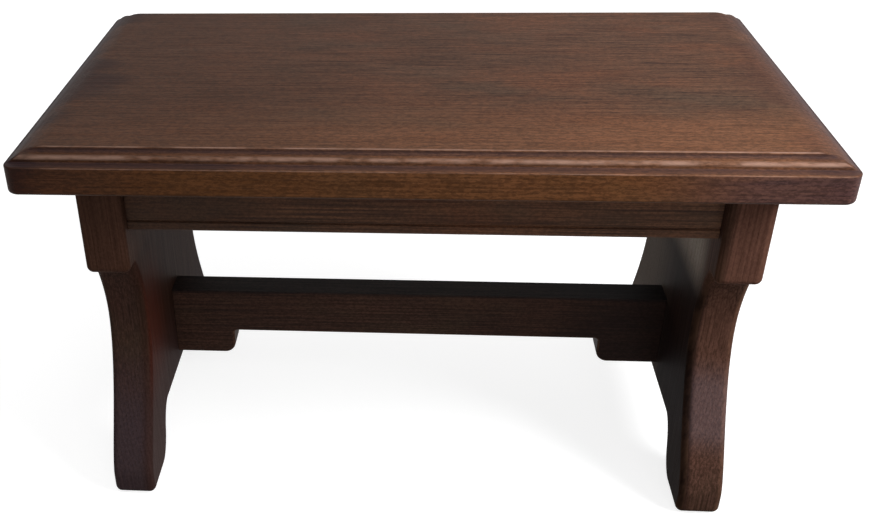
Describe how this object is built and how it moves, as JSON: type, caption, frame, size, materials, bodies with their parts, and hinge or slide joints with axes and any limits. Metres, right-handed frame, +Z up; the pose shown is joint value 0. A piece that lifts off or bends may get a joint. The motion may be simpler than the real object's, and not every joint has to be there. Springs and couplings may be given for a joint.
{
  "type": "footstool",
  "caption": "Low oblong oak footstool with a moulded top, shaped end panels on feet, aprons under the top and a stretcher with bracket ends.",
  "frame": {"origin": "on the floor, under the middle of the top", "axes": "+X along the top, to the right as seen from the front; +Y away from the front; +Z up"},
  "size_m": [0.45, 0.268, 0.255],
  "materials": {
    "stained_oak": "dark brown stain, semi-gloss varnish",
    "glue_block_oak": "dark brown stain, matt",
    "beech_dowel": "bare beech, glued in",
    "zinc_plated_steel": "zinc plated"
  },
  "bodies": {
    "root": {"top_board": "stained_oak", "left_end_panel": "stained_oak", "right_end_panel": "stained_oak", "front_apron": "stained_oak", "rear_apron": "stained_oak", "stretcher": "stained_oak", "corner_block_front_left": "glue_block_oak", "corner_block_front_right": "glue_block_oak", "corner_block_rear_left": "glue_block_oak", "corner_block_rear_right": "glue_block_oak", "top_screw_front_left": "zinc_plated_steel", "top_screw_front_right": "zinc_plated_steel", "top_screw_rear_left": "zinc_plated_steel", "top_screw_rear_right": "zinc_plated_steel", "stretcher_dowel_left_lower": "beech_dowel", "stretcher_dowel_left_upper": "beech_dowel", "stretcher_dowel_right_lower": "beech_dowel", "stretcher_dowel_right_upper": "beech_dowel", "front_apron_dowel_left_lower": "beech_dowel", "front_apron_dowel_left_upper": "beech_dowel", "front_apron_dowel_right_lower": "beech_dowel", "front_apron_dowel_right_upper": "beech_dowel", "rear_apron_dowel_left_lower": "beech_dowel", "rear_apron_dowel_left_upper": "beech_dowel", "rear_apron_dowel_right_lower": "beech_dowel", "rear_apron_dowel_right_upper": "beech_dowel"}
  },
  "joints": []
}
